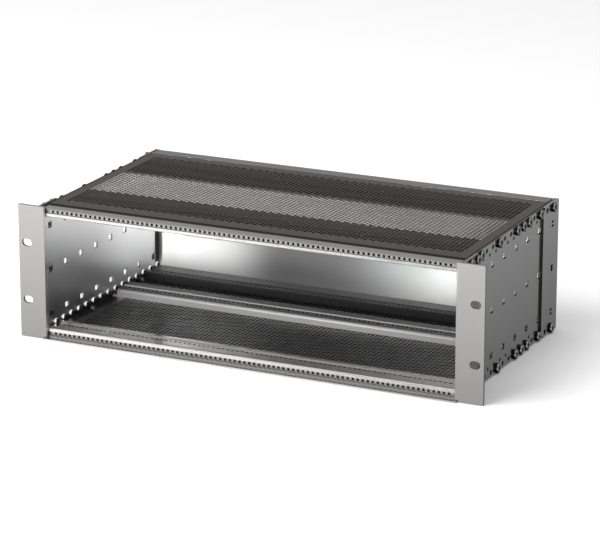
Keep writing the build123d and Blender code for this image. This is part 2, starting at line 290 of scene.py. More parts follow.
def row_of_points(tree, count, start_x, start_y, step):
    """Nodes that lay points in a row along X."""
    return put(tree, "GeometryNodeMeshLine",
               {"Count": count, "Start Location": xyz(tree, start_x, start_y), "Offset": xyz(tree, step)},
               mode="OFFSET", count_mode="TOTAL").outputs[0]


def thicken(tree, flat, thickness, finish, edge_finish, merge_gap=0.001 * mm):
    """Nodes that turn a flat filled mesh into a closed sheet, whose edges have their own finish."""
    flat = paint(tree, flat, finish)
    risen = put(tree, "GeometryNodeExtrudeMesh",
                {"Mesh": flat, "Offset": xyz(tree, z=thickness), "Offset Scale": 1.0, "Individual": False},
                mode="FACES").outputs
    edged = paint(tree, risen["Mesh"], edge_finish, risen["Side"])
    back = put(tree, "GeometryNodeFlipFaces", {"Mesh": flat}).outputs[0]
    return merge(tree, join(tree, back, edged), merge_gap)


def place_and_facing(tree):
    """Where each face lies and which way it points, split into X, Y and Z."""
    return [split_xyz(tree, put(tree, kind).outputs[0])
            for kind in ("GeometryNodeInputPosition", "GeometryNodeInputNormal")]


def side_panel_tree():
    """A panel drawn flat, with its front edge at X 0, and then stood upright at Place X."""
    outline_reach, rows_start = 65.2 * mm, 50.0 * mm
    window_corner = 0.6 * mm
    tree, given = shape_tree(
        "punched_side_panel",
        [("Length", "Float", 0.237), ("Height", "Float", 0.131), ("Thickness", "Float", panel_thickness),
         ("Hole Pitch", "Float", hole_pitch), ("Hole Count", "Int", hole_count),
         ("First Hole", "Float", first_hole), ("Outer Row", "Float", outer_row),
         ("Outer Hole Radius", "Float", 0.0023), ("Inner Row", "Float", 0.0552),
         ("Inner Hole Radius", "Float", 0.0018), ("Window Length", "Float", 0.007),
         ("Window Height", "Float", 0.006), ("Window Row", "Float", window_row), ("Collar", "Object", None),
         ("Collar Turn", "Vector", (0, 0, 0)), ("Collar Base", "Float", 0.0), ("Place X", "Float", 0.0),
         ("Inner Side", "Float", 1.0), ("Material", "Material", None), ("Inner Material", "Material", None),
         ("Window Wall Material", "Material", None), ("Cut Edge Material", "Material", None),
         ("Collar Material", "Material", None)])
    edge = move(tree, oblong(tree, given["Length"], given["Height"]),
                xyz(tree, calc(tree, "MULTIPLY", given["Length"], 0.5)))
    round_hole = circle(tree, 18, given["Outer Hole Radius"])
    small_hole = circle(tree, 14, given["Inner Hole Radius"])
    window = oblong(tree, given["Window Length"], given["Window Height"])
    window = put(tree, "GeometryNodeFilletCurve", {"Curve": window, "Count": 3, "Radius": window_corner},
                 mode="POLY").outputs[0]
    half_pitch = calc(tree, "MULTIPLY", given["Hole Pitch"], 0.5)
    double_pitch = calc(tree, "MULTIPLY", given["Hole Pitch"], 2.0)
    inner_start = calc(tree, "ADD", given["First Hole"], half_pitch)
    window_count = calc(tree, "MULTIPLY", calc(tree, "ADD", given["Hole Count"], 1.0), 0.5)
    holes, inner_rows = [], []
    for side in (-1.0, 1.0):
        outer_y = calc(tree, "MULTIPLY", given["Outer Row"], side)
        inner_y = calc(tree, "MULTIPLY", given["Inner Row"], side)
        outer = row_of_points(tree, given["Hole Count"], given["First Hole"], outer_y, given["Hole Pitch"])
        inner = row_of_points(tree, given["Hole Count"], inner_start, inner_y, given["Hole Pitch"])
        holes += [copies_on(tree, outer, round_hole), copies_on(tree, inner, small_hole)]
        inner_rows.append(inner)
    for side in (-1.0, 0.0, 1.0):
        window_y = calc(tree, "MULTIPLY", given["Window Row"], side)
        row = row_of_points(tree, window_count, given["First Hole"], window_y, double_pitch)
        holes.append(copies_on(tree, row, window))
    sheet = thicken(tree, fill(tree, edge, *holes), given["Thickness"], given["Material"],
                    given["Window Wall Material"])

    # cut edges by the hole rows and those that face up get painted shade, but the right panel's
    # outline doesn't
    place, facing = place_and_facing(tree)
    on_edge = calc(tree, "LESS_THAN", calc(tree, "ABSOLUTE", facing["Z"]), 0.5)
    off_middle = calc(tree, "ABSOLUTE", place["Y"])
    outline = calc(tree, "MULTIPLY", calc(tree, "GREATER_THAN", off_middle, outline_reach),
                   calc(tree, "LESS_THAN", given["Inner Side"], 0.0))
    by_rows = calc(tree, "SUBTRACT", calc(tree, "GREATER_THAN", off_middle, rows_start), outline)
    faces_up = calc(tree, "SUBTRACT", calc(tree, "GREATER_THAN", facing["Y"], 0.6), outline)
    unlit = calc(tree, "MULTIPLY", on_edge, calc(tree, "MAXIMUM", by_rows, faces_up))
    sheet = paint(tree, sheet, given["Cut Edge Material"], unlit)
    inward = calc(tree, "GREATER_THAN", calc(tree, "MULTIPLY", facing["Z"], given["Inner Side"]), 0.5)
    sheet = paint(tree, sheet, given["Inner Material"], inward)

    # the collars' bores, and what looks neither up nor forwards, get painted shade too
    collar_shape = put(tree, "GeometryNodeObjectInfo", {"Object": given["Collar"], "As Instance": False})
    turn = put(tree, "FunctionNodeEulerToRotation", {0: given["Collar Turn"]}).outputs[0]
    collars = put(tree, "GeometryNodeInstanceOnPoints",
                  {"Points": join(tree, *inner_rows), "Instance": collar_shape.outputs["Geometry"],
                   "Rotation": turn}).outputs[0]
    collars = move(tree, collars, xyz(tree, z=given["Collar Base"]))
    collars = paint(tree, make_real(tree, collars), given["Collar Material"])
    in_bore = put(tree, "GeometryNodeInputNamedAttribute", {"Name": "bore"}, data_type="BOOLEAN").outputs[0]
    turned_away = calc(tree, "LESS_THAN", calc(tree, "SUBTRACT", facing["Y"], facing["X"]), 0.15)
    collars = paint(tree, collars, given["Cut Edge Material"], calc(tree, "MAXIMUM", in_bore, turned_away))
    return hand_out(tree, move(tree, join(tree, collars, sheet), xyz(tree, given["Place X"]),
                               (math.pi / 2, 0, math.pi / 2)))


# the darker inside, window walls and cut edges stand in for the shade in and behind the bay
rolled = {"grain": 9000, "stretch": (1, 0.02, 1), "bump": 0.08}
# the panel finish, which the rear angles share, has painted shade that grows darker towards the foot
panel_finish = metal("rolled_panel", (0.80, 0.79, 0.785), 0.20, shade=0.3, **rolled)
# the inside is a darker copy of the panel finish, with painted shade towards the foot and by the rails
shaded_inner_finish = metal("rolled_panel_inside", (0.53, 0.53, 0.53), 0.32, shade=0.65, rim=0.1, **rolled)
window_finish = metal("punched_window_wall", (0.30, 0.295, 0.29), 0.28, grain=900)
# the collars' pale finish is a painted highlight, brighter than the sheet they are drawn from
collar_highlight_finish = metal("drawn_collar", (0.95, 0.95, 0.95), 0.45, grain=900)
# near black: painted shade for cut edges, bores, lance walls and shaded faces
edge_shade_finish = metal("sheared_edge", (0.035, 0.033, 0.03), 0.45, grain=2500)
collar_section = [(1.8, 0), (1.8, 1.25), (2.1, 1.5), (2.55, 1.5), (2.85, 1.2), (3.0, 0.3), (3.3, 0)]
collar = tube("drawn_collar", collar_section, 14)
bore = collar.data.attributes.new("bore", "BOOLEAN", "FACE")
for face in collar.data.polygons:
    bore.data[face.index].value = math.hypot(face.center.x, face.center.y) < 2.0 * mm
side_panel = side_panel_tree()
for side, place_x, turn, base, inner in (
        ("left", -bay_half_width - panel_thickness, 0.0, panel_thickness, 1.0),
        ("right", bay_half_width, math.pi, 0.0, -1.0)):
    panel = new_piece(f"side_panel_{side}_sheet", bpy.data.meshes.new("panel"))
    run_tree(panel, side_panel, {
        "Collar": collar, "Collar Turn": (0.0, turn, 0.0), "Collar Base": base, "Place X": place_x,
        "Inner Side": inner, "Material": panel_finish, "Inner Material": shaded_inner_finish,
        "Window Wall Material": window_finish, "Cut Edge Material": edge_shade_finish,
        "Collar Material": collar_highlight_finish})
    dress(panel, "panel", f"side_panel_{side}")
bpy.data.objects.remove(collar)


# Brackets
# The front brackets are extruded: rack flange, side leg and a thin inner rib that faces the
# opening. The rear ones are angles of 2 mm sheet. Small lances hook both into the windows of
# the side panels, and their edges are broken by deburring.
def deburred_copy(node, name, width, finish):
    """A piece like a CAD node, with whole faces, slightly rounded edges and a finish."""
    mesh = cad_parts[node].data.copy()
    shape = bmesh.new()
    shape.from_mesh(mesh)
    bmesh.ops.remove_doubles(shape, verts=shape.verts, dist=1e-6)
    bmesh.ops.dissolve_limit(shape, angle_limit=math.radians(0.5), verts=shape.verts, edges=shape.edges)
    shape.to_mesh(mesh)
    shape.free()
    mesh.materials.clear()
    mesh.materials.append(finish)
    piece = new_piece(name, mesh)
    edge = piece.modifiers.new("deburred", "BEVEL")
    edge.width = width
    edge.segments = 2
    edge.limit_method = "ANGLE"
    edge.angle_limit = math.radians(40)
    return keep_result(piece)


def darken_cuts(bracket, sheared_front):
    """Paints shade on the walls of the lances and round holes, and on a sheared front edge."""
    bracket.data.materials.append(edge_shade_finish)
    lance_reach_y, lance_reach_z, lance_area = 4 * mm, 6 * mm, 40 * mm * mm
    hole_reach, hole_wall_area = 2.5 * mm, 12 * mm * mm
    for face in bracket.data.polygons:
        spot, facing = face.center, face.normal
        off_row = min(abs(spot.z - row) for row in (-window_row, 0.0, window_row))
        off_column = min(abs(spot.y - column) for column in (hole_ys[0], hole_ys[-1]))
        across = abs(facing.x) < 0.8
        lance = off_row < lance_reach_z and off_column < lance_reach_y and (across or face.area < lance_area)
        hole = abs(abs(spot.z) - outer_row) < hole_reach and across and face.area < hole_wall_area
        if lance or hole or (sheared_front and facing.y < -0.7):
            face.material_index = 1


# the flange finish has painted shade that grows darker towards the foot
flange_finish = metal("anodised_flange", (0.60, 0.592, 0.588), 0.34, grain=3000, stretch=(1, 1, 0.02),
                      bump=0.02, shade=0.2)
for side in ("left", "right"):
    bracket = deburred_copy(f"front_bracket_{side}", f"front_bracket_{side}_extrusion", 0.2 * mm,
                            flange_finish)
    darken_cuts(bracket, False)
    dress(bracket, "bracket", f"front_bracket_{side}")
    angle = deburred_copy(f"rear_bracket_{side}", f"rear_bracket_{side}_angle", 0.15 * mm, panel_finish)
    darken_cuts(angle, True)
    dress(angle, "panel", f"rear_bracket_{side}")


# Rails
# Six aluminium extrusions join the side panels. Each has a guide channel towards the opening
# with a drilled hole at every pitch of 5.08 mm for the card guides' pegs, and the bottom front
# rail carries a long lip with a second row of small oval holes. Their ends are relieved.
card_pitch, card_places = 5.08 * mm, 84


def centred_row(tree, given):
    """Nodes that lay Count points along X, a Pitch apart and with their middle at 0."""
    reach = calc(tree, "MULTIPLY", calc(tree, "SUBTRACT", given["Count"], 1.0), given["Pitch"])
    return row_of_points(tree, given["Count"], calc(tree, "MULTIPLY", reach, -0.5), 0.0, given["Pitch"])


def drilled_row_tree():
    """A row of holes cut upright through a shape."""
    tree, given = shape_tree(
        "drilled_row",
        [("Geometry", "Geometry", None), ("Pitch", "Float", card_pitch), ("Count", "Int", card_places),
         ("Hole Radius", "Float", 0.0015), ("Hole Stretch", "Vector", (1, 1, 1)), ("Depth", "Float", 0.003),
         ("Centre", "Vector", (0, 0, 0)), ("Bore Material", "Material", None)])
    row = move(tree, centred_row(tree, given), given["Centre"])
    drill = put(tree, "GeometryNodeMeshCylinder",
                {"Vertices": 12, "Radius": given["Hole Radius"], "Depth": given["Depth"]}).outputs["Mesh"]
    drills = put(tree, "GeometryNodeInstanceOnPoints",
                 {"Points": row, "Instance": drill, "Scale": given["Hole Stretch"]}).outputs[0]
    drills = paint(tree, make_real(tree, drills), given["Bore Material"])
    cut = put(tree, "GeometryNodeMeshBoolean", {"Mesh 1": given["Geometry"], "Mesh 2": drills},
              operation="DIFFERENCE", solver="EXACT").outputs["Mesh"]
    return hand_out(tree, cut)


def shade_rail(rail):
    """Gives the strip groove's floor painted shade, the middle rail's nose a painted highlight and the outer
    lips painted shade.
    """
    groove_floor, nose = (4.45 * mm, 4.7 * mm), (100 * mm, 160 * mm)
    lip_start_z = 63.8 * mm
    for finish in (groove_finish, nose_highlight_finish, lip_shade_finish):
        rail.data.materials.append(finish)
    for face in rail.data.polygons:
        spot, forward = face.center, -face.normal.y
        if forward > 0.6 and groove_floor[0] < spot.y < groove_floor[1]:
            face.material_index = 1
        elif forward > 0.6 and nose[0] < spot.y < nose[1]:
            face.material_index = 2
        elif forward > 0.3 and spot.z > lip_start_z:
            face.material_index = 3


# the inner rails' darker finish and the groove's stand in for the shade inside the bay
drawn = {"grain": 9000, "stretch": (0.004, 1, 1)}
groove_finish = metal("unlit_groove", (0.03, 0.03, 0.03), 0.5)
rail_finish = metal("anodised_rail", (0.80, 0.785, 0.775), 0.10, bump=0.14, **drawn)
inner_rail_finish = metal("anodised_inner_rail", (0.21, 0.21, 0.21), 0.60, bump=0.14, **drawn)
# a darker copy of the rail finish: painted shade on the outer lips
lip_shade_finish = metal("anodised_outer_lip", (0.36, 0.355, 0.35), 0.25, bump=0.1, **drawn)
# a pale copy of the rail finish: painted highlight on the middle rail's nose
nose_highlight_finish = metal("anodised_nose", (0.77, 0.76, 0.755), 0.55, bump=0.1, **drawn)
drilled_row = drilled_row_tree()

# where the guide holes are drilled, in mm
guide_z = 57.0
guide_ys = {"front_rail": 18.0, "middle_rail": 152.5, "rear_rail": 212.0}
for rail_name, guide_y in guide_ys.items():
    finish = rail_finish if rail_name == "front_rail" else inner_rail_finish
    for level, up in (("top", 1), ("bottom", -1)):
        rail = deburred_copy(f"{rail_name}_{level}", f"{rail_name}_{level}_extrusion", 0.18 * mm, finish)
        shade_rail(rail)
        run_tree(rail, drilled_row, {"Hole Radius": 1.5 * mm, "Depth": 6.0 * mm,
                                     "Bore Material": groove_finish,
                                     "Centre": Vector((0, guide_y, up * guide_z)) * mm})
        if rail_name == "front_rail" and level == "bottom":
            run_tree(rail, drilled_row, {"Hole Radius": 1.0 * mm, "Hole Stretch": (1.15, 0.8, 1.0),
                                         "Depth": 4.0 * mm, "Bore Material": groove_finish,
                                         "Centre": Vector((0, -3.6, -65.6)) * mm})
        dress(rail, "rail", f"{rail_name}_{level}")


# Threaded strips
# Bars of zinc plated steel slid into the grooves of the rails. The front ones are tapped at
# every pitch for the module screws, and the rear ones hold the rear panel's screws.
strip_z, strip_back_y, strip_thickness = 61.25 * mm, 4.4 * mm, 2.2 * mm


def tapped_strip_tree():
    """A bar drawn flat and then stood upright, with its back at Place."""
    tree, given = shape_tree(
        "tapped_strip",
        [("Length", "Float", 0.43), ("Height", "Float", 0.0054), ("Thickness", "Float", strip_thickness),
         ("Pitch", "Float", card_pitch), ("Count", "Int", card_places), ("Hole Radius", "Float", 0.00135),
         ("Place", "Vector", (0, 0, 0)), ("Material", "Material", None),
         ("Thread Material", "Material", None)])
    edge = oblong(tree, given["Length"], given["Height"])
    holes = copies_on(tree, centred_row(tree, given), circle(tree, 14, given["Hole Radius"]))
    bar = thicken(tree, fill(tree, edge, holes), given["Thickness"], given["Material"],
                  given["Thread Material"])
    return hand_out(tree, move(tree, bar, given["Place"], (math.pi / 2, 0, 0)))


strip_finish = metal("zinc_plated_strip", (0.52, 0.515, 0.51), 0.25, grain=900, bump=0.01)
# near black: painted shade inside the tapped holes
thread_shade_finish = metal("oiled_thread", (0.02, 0.02, 0.02), 0.5, grain=1500)
tapped_strip = tapped_strip_tree()
for level, up in (("top", 1), ("bottom", -1)):
    front = new_piece(f"front_strip_{level}_tapped", bpy.data.meshes.new("strip"))
    run_tree(front, tapped_strip, {"Place": (0.0, strip_back_y, up * strip_z), "Material": strip_finish,
                                   "Thread Material": thread_shade_finish})
    dress(front, "strip", f"front_strip_{level}")
    rear = deburred_copy(f"rear_strip_{level}", f"rear_strip_{level}_bar", 0.15 * mm, strip_finish)
    dress(rear, "strip", f"rear_strip_{level}")


# Covers
# Top and bottom sheets of 1.2 mm aluminium. Both are perforated with 4 mm holes, 5 mm apart
# in staggered columns, and keep a plain border. Their side edges are folded down as tabs
# that the cover screws reach through the side panels.
def perforated_cover_tree():
    """A cover drawn flat, lifted to its height and given its tabs. Turn puts it underneath."""
    tab_spans = ((22.2 * mm, 141.5 * mm), (184.5 * mm, 202.0 * mm))
    merge_gap = 0.01 * mm
    tree, given = shape_tree(
        "perforated_cover",
        [("Half Width", "Float", 0.2153), ("Front", "Float", 0.0136), ("Rear", "Float", 0.2209),
         ("Top", "Float", 0.066), ("Thickness", "Float", 0.0012), ("Hole Radius", "Float", 0.002),
         ("Hole Pitch", "Float", 0.005), ("Hole Sides", "Int", 10), ("Column Pairs", "Int", 47),
         ("Rows", "Int", 36), ("Field Centre", "Float", 0.11865), ("Tab Height", "Float", 0.0074),
         ("Turn", "Vector", (0, 0, 0)), ("Material", "Material", None), ("Edge Material", "Material", None),
         ("Shaded Edge Material", "Material", None), ("Open Bay Start", "Float", 0.075),
         ("Open Bay End", "Float", 0.15)])

    # each hole stands in a hexagonal cell, and the cells meet edge to edge
    cell = circle(tree, 6, calc(tree, "DIVIDE", given["Hole Pitch"], math.sqrt(3)))
    hole = circle(tree, given["Hole Sides"], given["Hole Radius"])
    column_gap = calc(tree, "MULTIPLY", given["Hole Pitch"], math.sqrt(3))
    size_y = calc(tree, "MULTIPLY", calc(tree, "SUBTRACT", given["Rows"], 1.0), given["Hole Pitch"])
    grids = []
    for extra_columns, stagger in ((1.0, -0.25), (0.0, 0.25)):
        count = calc(tree, "ADD", given["Column Pairs"], extra_columns)
        size_x = calc(tree, "MULTIPLY", calc(tree, "SUBTRACT", count, 1.0), column_gap)
        grid = put(tree, "GeometryNodeMeshGrid", {"Size X": size_x, "Size Y": size_y, "Vertices X": count,
                                                  "Vertices Y": given["Rows"]}).outputs[0]
        shift = calc(tree, "MULTIPLY", given["Hole Pitch"], stagger)
        grids.append(move(tree, grid, xyz(tree, y=calc(tree, "ADD", given["Field Centre"], shift))))
    centres = join(tree, *grids)
    pierced = merge(tree, copies_on(tree, centres, fill(tree, cell, hole)), merge_gap)
    plain = merge(tree, copies_on(tree, centres, fill(tree, cell)), merge_gap)

    # the plain border runs from the outermost cells to the edge of the sheet
    near_faces = put(tree, "GeometryNodeInputMeshEdgeNeighbors").outputs[0]
    outermost = put(tree, "FunctionNodeCompare", {2: near_faces, 3: 1}, data_type="INT", operation="EQUAL")
    field_edge = put(tree, "GeometryNodeMeshToCurve", {"Mesh": plain, "Selection": outermost.outputs[0]})
    width = calc(tree, "MULTIPLY", given["Half Width"], 2.0)
    length = calc(tree, "SUBTRACT", given["Rear"], given["Front"])
    centre_y = calc(tree, "MULTIPLY", calc(tree, "ADD", given["Rear"], given["Front"]), 0.5)
    edge = move(tree, oblong(tree, width, length), xyz(tree, y=centre_y))
    flat = merge(tree, join(tree, fill(tree, edge, field_edge.outputs[0]), pierced), merge_gap)
    sheet = thicken(tree, flat, given["Thickness"], given["Material"], given["Edge Material"], merge_gap)

    # the walls of the holes outside the open bay, over the rails, get painted shade
    place, facing = place_and_facing(tree)
    outside = calc(tree, "MAXIMUM", calc(tree, "LESS_THAN", place["Y"], given["Open Bay Start"]),
                   calc(tree, "GREATER_THAN", place["Y"], given["Open Bay End"]))
    upright = calc(tree, "LESS_THAN", calc(tree, "ABSOLUTE", facing["Z"]), 0.5)
    sheet = paint(tree, sheet, given["Shaded Edge Material"], calc(tree, "MULTIPLY", outside, upright))

    # the side edges are folded down into two tabs each, which get painted shade
    under = calc(tree, "SUBTRACT", given["Top"], given["Thickness"])
    parts = [move(tree, sheet, xyz(tree, z=under))]
    tab_depth = calc(tree, "SUBTRACT", given["Tab Height"], given["Thickness"])
    tab_z = calc(tree, "SUBTRACT", under, calc(tree, "MULTIPLY", tab_depth, 0.5))
    tab_x = calc(tree, "SUBTRACT", given["Half Width"], calc(tree, "MULTIPLY", given["Thickness"], 0.5))
    for tab_start, tab_end in tab_spans:
        size = xyz(tree, given["Thickness"], tab_end - tab_start, tab_depth)
        for side in (-1.0, 1.0):
            tab = put(tree, "GeometryNodeMeshCube", {"Size": size}).outputs[0]
            spot = xyz(tree, calc(tree, "MULTIPLY", tab_x, side), (tab_start + tab_end) / 2, tab_z)
            parts.append(paint(tree, move(tree, tab, spot), given["Shaded Edge Material"]))
    return hand_out(tree, move(tree, join(tree, *parts), (0, 0, 0), given["Turn"]))


# the lower cover's darker finish stands in for the shade inside the bay
cover_rolled = {"grain": 9000, "stretch": (1, 0.01, 1), "bump": 0.05}
cover_finish = metal("perforated_sheet", (0.21, 0.185, 0.175), 0.22, **cover_rolled)
punched_edge = metal("punched_edge", (0.74, 0.71, 0.695), 0.30, grain=2500)
shaded_edge = metal("punched_edge_over_rail", (0.10, 0.09, 0.085), 0.30, grain=2500)
lower_finish = metal("perforated_sheet_inside", (0.22, 0.215, 0.21), 0.36, **cover_rolled)
lower_edge = metal("punched_edge_inside", (0.04, 0.04, 0.04), 0.30, grain=2500)
perforated_cover = perforated_cover_tree()
for level, turn, finish, edge, shaded in (("top", 0.0, cover_finish, punched_edge, shaded_edge),
                                          ("bottom", math.pi, lower_finish, lower_edge, lower_edge)):
    cover = new_piece(f"{level}_cover_perforated", bpy.data.meshes.new("cover"))
    run_tree(cover, perforated_cover, {"Turn": (0.0, turn, 0.0), "Material": finish, "Edge Material": edge,
                                       "Shaded Edge Material": shaded})
    dress(cover, "cover", f"{level}_cover")


# Rear panel
# A plain sheet that closes the back. Its top and bottom edges are folded forwards over the
# rear rails, and small screws hold it to the threaded strips behind. A small dark angle of
# thin sheet in each rear corner of the bay, behind the last windows, is painted shade, with a
# painted highlight on its rear leg's front.
rear_finish = metal("rear_sheet", (0.65, 0.65, 0.65), 0.30, bump=0.14, **drawn)
rear_sheet = deburred_copy("rear_panel", "rear_panel_sheet", 0.3 * mm, rear_finish)
dress(rear_sheet, "rear", "rear_panel")

corner_shade_finish = metal("dark_corner_angle", (0.05, 0.05, 0.05), 0.30, grain=2500)
corner_x, corner_y = bay_half_width, 234.6 * mm
side_leg, rear_leg, angle_sheet, angle_reach = 7.4 * mm, 4.2 * mm, 0.8 * mm, 51.5 * mm
inside_x, inside_y = corner_x - angle_sheet, corner_y - angle_sheet
angle_outline = [(corner_x, corner_y - side_leg), (corner_x, corner_y), (corner_x - rear_leg, corner_y),
                 (corner_x - rear_leg, inside_y), (inside_x, inside_y), (inside_x, corner_y - side_leg)]
for side, out in (("left", -1), ("right", 1)):
    shape = bmesh.new()
    ends = [[shape.verts.new((out * x, y, z)) for x, y in angle_outline] for z in (-angle_reach, angle_reach)]
    for end in ends:
        shape.faces.new(end)
    wall_between(shape, ends)
    bmesh.ops.recalc_face_normals(shape, faces=shape.faces)
    mesh = mesh_from(shape, f"corner_angle_{side}")
    mesh.materials.append(corner_shade_finish)
    mesh.materials.append(nose_highlight_finish)
    for face in mesh.polygons:
        # the rear leg's front gets a painted highlight
        on_rear_leg = face.center.y > corner_y - rear_leg
        face.material_index = 1 if face.normal.y < -0.9 and on_rear_leg else 0
    dress(new_piece(f"corner_angle_{side}", mesh), "rear")


# Screws
# Pan head screws with a star recess hold the rails and covers through the side panels, and
# smaller ones hold the rear panel. Their heads are cold formed with a rounded top, and grub
# screws with a small socket fill the end holes of the front strips.
def screw_set_tree():
    """A screw on each point, turned at random about its own axis."""
    tree, given = shape_tree(
        "screw_set",
        [("Geometry", "Geometry", None), ("Screw", "Object", None), ("Turn", "Vector", (0, 0, 0)),
         ("Size", "Float", 1.0), ("Seed", "Int", 3), ("Material", "Material", None),
         ("Wall Material", "Material", None)])
    screw = put(tree, "GeometryNodeObjectInfo", {"Object": given["Screw"], "As Instance": False})
    wall = put(tree, "GeometryNodeInputNamedAttribute", {"Name": "wall"}, data_type="BOOLEAN").outputs[0]
    screw = paint(tree, screw.outputs["Geometry"], given["Material"])
    screw = paint(tree, screw, given["Wall Material"], wall)
    spin = put(tree, "FunctionNodeRandomValue", {"Max": 2 * math.pi, "Seed": given["Seed"]},
               data_type="FLOAT")
    spin = [socket for socket in spin.outputs if socket.enabled][0]
    about = put(tree, "FunctionNodeEulerToRotation", {0: xyz(tree, z=spin)}).outputs[0]
    base = put(tree, "FunctionNodeEulerToRotation", {0: given["Turn"]}).outputs[0]
    turned = put(tree, "FunctionNodeRotateRotation", {"Rotation": base, "Rotate By": about},
                 rotation_space="LOCAL").outputs[0]
    size = xyz(tree, given["Size"], given["Size"], given["Size"])
    placed = put(tree, "GeometryNodeInstanceOnPoints", {"Points": given["Geometry"], "Instance": screw,
                                                        "Rotation": turned, "Scale": size}).outputs[0]
    return hand_out(tree, placed)


def lathe(name, profile, sides):
    """A turned shape about Z from (radius, height, lobe) points in mm, closed at both ends."""
    shape = bmesh.new()
    rings = [ring_of_points(shape, radius * mm, height * mm, sides, lobe)
             for radius, height, lobe in profile]
    wall_between(shape, rings)
    shape.faces.new(list(reversed(rings[0])))
    shape.faces.new(rings[-1])
    mesh = mesh_from(shape, name)
    for face in mesh.polygons:
        face.use_smooth = abs(face.normal.z) < 0.98
    return new_piece(name, mesh)


def pan_head_screw():
    """Head on Z from 0 to 2.9 mm, shank below, with a six-lobed recess."""
    outside = [(1.95, -7.5), (1.95, 0.0), (4.75, 0.0), (4.75, 2.1), (4.6, 2.55), (4.25, 2.82), (3.7, 2.9)]
    recess, lobe = [(2.3, 2.9), (2.15, 2.75), (2.0, 1.2)], 0.13
    profile = [(*point, 0.0) for point in outside] + [(*point, lobe) for point in recess]
    screw = lathe("pan_head_screw", profile, 36)
    # the head's side wall and its recess are marked here for painted shade
    wall = screw.data.attributes.new("wall", "BOOLEAN", "FACE")
    for face in screw.data.polygons:
        centre = face.center
        reach = math.hypot(centre.x, centre.y)
        on_side = 0.1 * mm < centre.z < 2.3 * mm and reach > 4.0 * mm
        below_rim = centre.z < 2.8 * mm or abs(face.normal.z) < 0.5
        in_recess = centre.z > 0.5 * mm and reach < 2.5 * mm and below_rim
        wall.data[face.index].value = on_side or in_recess
    return screw


def screws_at(name, node, screw, seats, turn, head_wall_shade_finish, **values):
    """A set of screws on its seats, in place of a CAD node."""
    mesh = bpy.data.meshes.new(name)
    mesh.from_pydata(seats, [], [])
    group = new_piece(name, mesh)
    run_tree(group, screw_set, {"Screw": screw, "Turn": turn, "Material": screw_finish,
                                "Wall Material": head_wall_shade_finish, **values})
    return dress(group, "screw", node)


def side_seat_x(y):
    """The face that a side screw's head lies on: bracket leg, rear bracket or the panel itself."""
    front_leg_end, rear_angle_start = 35.0 * mm, 198.8 * mm
    if y < front_leg_end:
        return 220.5 * mm
    return 220.0 * mm if y > rear_angle_start else bay_half_width + panel_thickness


screw_finish = metal("nickel_plated_screw", (0.60, 0.60, 0.60), 0.22, grain=1500)
# near black: painted shade on the heads' side walls and in their recesses
head_wall_shade_finish = metal("knurled_screw_wall", (0.03, 0.03, 0.03), 0.30, grain=1500)
screw_set = screw_set_tree()
pan_screw = pan_head_screw()

# which holes of the side panels' outer rows hold a screw
side_holes = {"rail": (0, 9, 10, 14), "cover": (1, 2, 5, 8, 12)}
for side, out in (("left", -1), ("right", 1)):
    for kind, holes in side_holes.items():
        seats = [(out * side_seat_x(hole_ys[i]), hole_ys[i], z)
                 for i in holes for z in (-outer_row, outer_row)]
        screws_at(f"{kind}_screws_{side}_pan", f"{kind}_screws_{side}", pan_screw, seats,
                  (0.0, out * math.pi / 2, 0.0), head_wall_shade_finish)
rear_seat_y, rear_columns = 235.9 * mm, (3, 22, 42, 61, 80)
rear_seats = [(card_pitch * (i - (card_places - 1) / 2), rear_seat_y, z)
              for i in rear_columns for z in (-strip_z, strip_z)]
rear_group = screws_at("rear_panel_screws_pan", "rear_panel_screws", pan_screw, rear_seats,
                       (-math.pi / 2, 0.0, 0.0), screw_finish, Size=0.53, Seed=8)
bpy.data.objects.remove(pan_screw)

grub_profile = [(1.3, -1.6), (1.3, -0.15), (1.15, 0.0), (0.75, 0.0), (0.72, -0.9)]
grub = lathe("grub_screw", [(*point, 0.0) for point in grub_profile], 18)
end_hole_x, strip_face_y = card_pitch * (card_places - 1) / 2, strip_back_y - strip_thickness
grub_seats = [(x, strip_face_y, z) for x in (-end_hole_x, end_hole_x) for z in (-strip_z, strip_z)]
screws_at("grub_screws_set", "grub_screws", grub, grub_seats, (math.pi / 2, 0.0, 0.0), screw_finish, Seed=5)
bpy.data.objects.remove(grub)


# Studio
# A plain white floor that runs out of the picture, one large soft light from the left, and a
# pale room with a dark gap between two bright walls, which the bare metal mirrors. Small
# lights and screens that shine on single pieces stand for what the inside mirrors.
def floor_material():
    made = bpy.data.materials.new("studio_floor")
    made.use_nodes = True
    shader = made.node_tree.nodes["Principled BSDF"]
    shader.inputs["Base Color"].default_value = (0.92, 0.92, 0.92, 1)
    shader.inputs["Roughness"].default_value = 0.9
    shader.inputs["Specular IOR Level"].default_value = 0.0
    return made


def level_sheet(name, half_width, front, rear, z, finish):
    mesh = bpy.data.meshes.new(name)
    mesh.from_pydata([(-half_width, front, z), (half_width, front, z), (half_width, rear, z),
                      (-half_width, rear, z)], [], [(0, 1, 2, 3)])
    mesh.materials.append(finish)
    return new_piece(name, mesh)


floor_finish = floor_material()
floor_reach, floor_z = 14.0, cad_box[0].z - 0.2 * mm
floor = level_sheet("studio_floor", floor_reach, -floor_reach, floor_reach, floor_z, floor_finish)
floor.visible_glossy = False
ground = level_sheet("ground_below", 0.215, 0.0, 0.236, floor_z + 0.1 * mm, floor_finish)
ground.visible_camera = False


def area_light(name, place, aim, size, power):
    light = bpy.data.lights.new(name, "AREA")
    light.shape = "RECTANGLE"
    light.size, light.size_y = size
    light.energy = power
    made = bpy.data.objects.new(name, light)
    made.location = place
    made.rotation_euler = (Vector(aim) - Vector(place)).to_track_quat("-Z", "Y").to_euler()
    bpy.context.scene.collection.objects.link(made)
    made.visible_glossy = False
    return made


